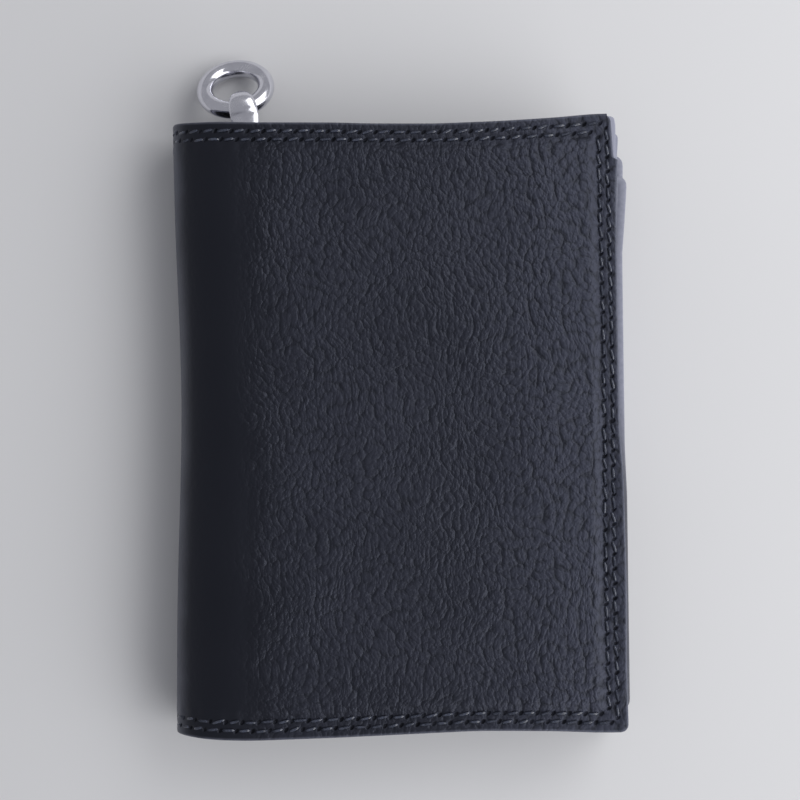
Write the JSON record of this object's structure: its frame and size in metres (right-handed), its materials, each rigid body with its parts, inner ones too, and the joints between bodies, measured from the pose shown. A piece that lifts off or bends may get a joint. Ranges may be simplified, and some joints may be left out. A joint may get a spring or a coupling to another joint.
{
  "type": "wallet",
  "caption": "Bifold wallet in dark grained leather with stitched padded covers, card pockets, a swing leaf, and a steel ring on a bail at the top of the spine.",
  "frame": {"origin": "centre of the back cover's outer face, on the surface that the closed wallet lies on", "axes": "+X from the spine to the opening edge, +Y up the height towards the ring, +Z out of the front cover"},
  "size_m": [0.1058, 0.1608, 0.021],
  "materials": {
    "cover_leather": "pebbled grain, semi-gloss, near black with a navy cast",
    "inner_leather": "smooth fine grain, satin, with painted edges",
    "lining": "fine ribbed cloth, matte",
    "board": "bonded leather board, matte",
    "thread": "waxed polyester thread, slight gloss",
    "steel": "polished silver colour"
  },
  "bodies": {
    "back": {"back_cover": "cover_leather", "back_stiffener": "board", "back_lining": "lining", "back_panel": "inner_leather", "back_pocket_1": "inner_leather", "back_pocket_2": "inner_leather", "back_pocket_3": "inner_leather", "back_pocket_4": "inner_leather", "back_thread": "thread", "leaf_hinge_strip": "inner_leather", "tab_base": "inner_leather", "ring_tab": "inner_leather", "tab_eyelet": "steel", "tab_washer": "steel"},
    "spine_1": {"spine_leather_1": "cover_leather", "spine_lining_1": "lining", "spine_thread_1": "thread"},
    "spine_2": {"spine_leather_2": "cover_leather", "spine_lining_2": "lining", "spine_thread_2": "thread"},
    "spine_3": {"spine_leather_3": "cover_leather", "spine_lining_3": "lining", "spine_thread_3": "thread"},
    "front": {"front_cover": "cover_leather", "front_stiffener": "board", "front_lining": "lining", "front_panel": "inner_leather", "front_pocket_1": "inner_leather", "front_pocket_2": "inner_leather", "front_pocket_3": "inner_leather", "front_pocket_4": "inner_leather", "front_thread": "thread"},
    "swing_leaf": {"leaf_back_face": "inner_leather", "leaf_front_face": "inner_leather", "leaf_back_pocket": "inner_leather", "leaf_front_pocket": "inner_leather"},
    "bail": {"bail": "steel"},
    "ring": {"ring": "steel"}
  },
  "joints": [
    {"name": "cover_fold_1", "type": "hinge", "parent": "back", "child": "spine_1", "pos_m": [-0.0455, 0, 0], "axis": [0.007, -1, 0], "range_deg": [0, 45]},
    {"name": "cover_fold_2", "type": "hinge", "parent": "spine_1", "child": "spine_2", "pos_m": [-0.0525, -0.00005, 0.007], "axis": [0.007, -1, 0], "range_deg": [0, 45]},
    {"name": "cover_fold_3", "type": "hinge", "parent": "spine_2", "child": "spine_3", "pos_m": [-0.0525, -0.00005, 0.014], "axis": [0.007, -1, 0], "range_deg": [0, 45]},
    {"name": "cover_fold_4", "type": "hinge", "parent": "spine_3", "child": "front", "pos_m": [-0.0455, 0, 0.021], "axis": [0.007, -1, 0], "range_deg": [0, 45]},
    {"name": "leaf_fold", "type": "hinge", "parent": "back", "child": "swing_leaf", "pos_m": [-0.0425, 0, 0.0105], "axis": [0, -1, 0], "range_deg": [0, 90]},
    {"name": "bail_swing", "type": "hinge", "parent": "back", "child": "bail", "pos_m": [-0.03562, 0.0681, 0.0105], "axis": [0.9781, 0.2079, 0], "range_deg": [-12, 12]},
    {"name": "ring_swing", "type": "hinge", "parent": "bail", "child": "ring", "pos_m": [-0.03717, 0.07544, 0.0105], "axis": [0.9781, 0.2079, 0], "range_deg": [-40, 100]}
  ],
  "couplings": [
    {"joint": "cover_fold_2", "follows": "cover_fold_1", "ratio": 1},
    {"joint": "cover_fold_3", "follows": "cover_fold_1", "ratio": 1},
    {"joint": "cover_fold_4", "follows": "cover_fold_1", "ratio": 1},
    {"joint": "leaf_fold", "follows": "cover_fold_1", "ratio": 2}
  ]
}
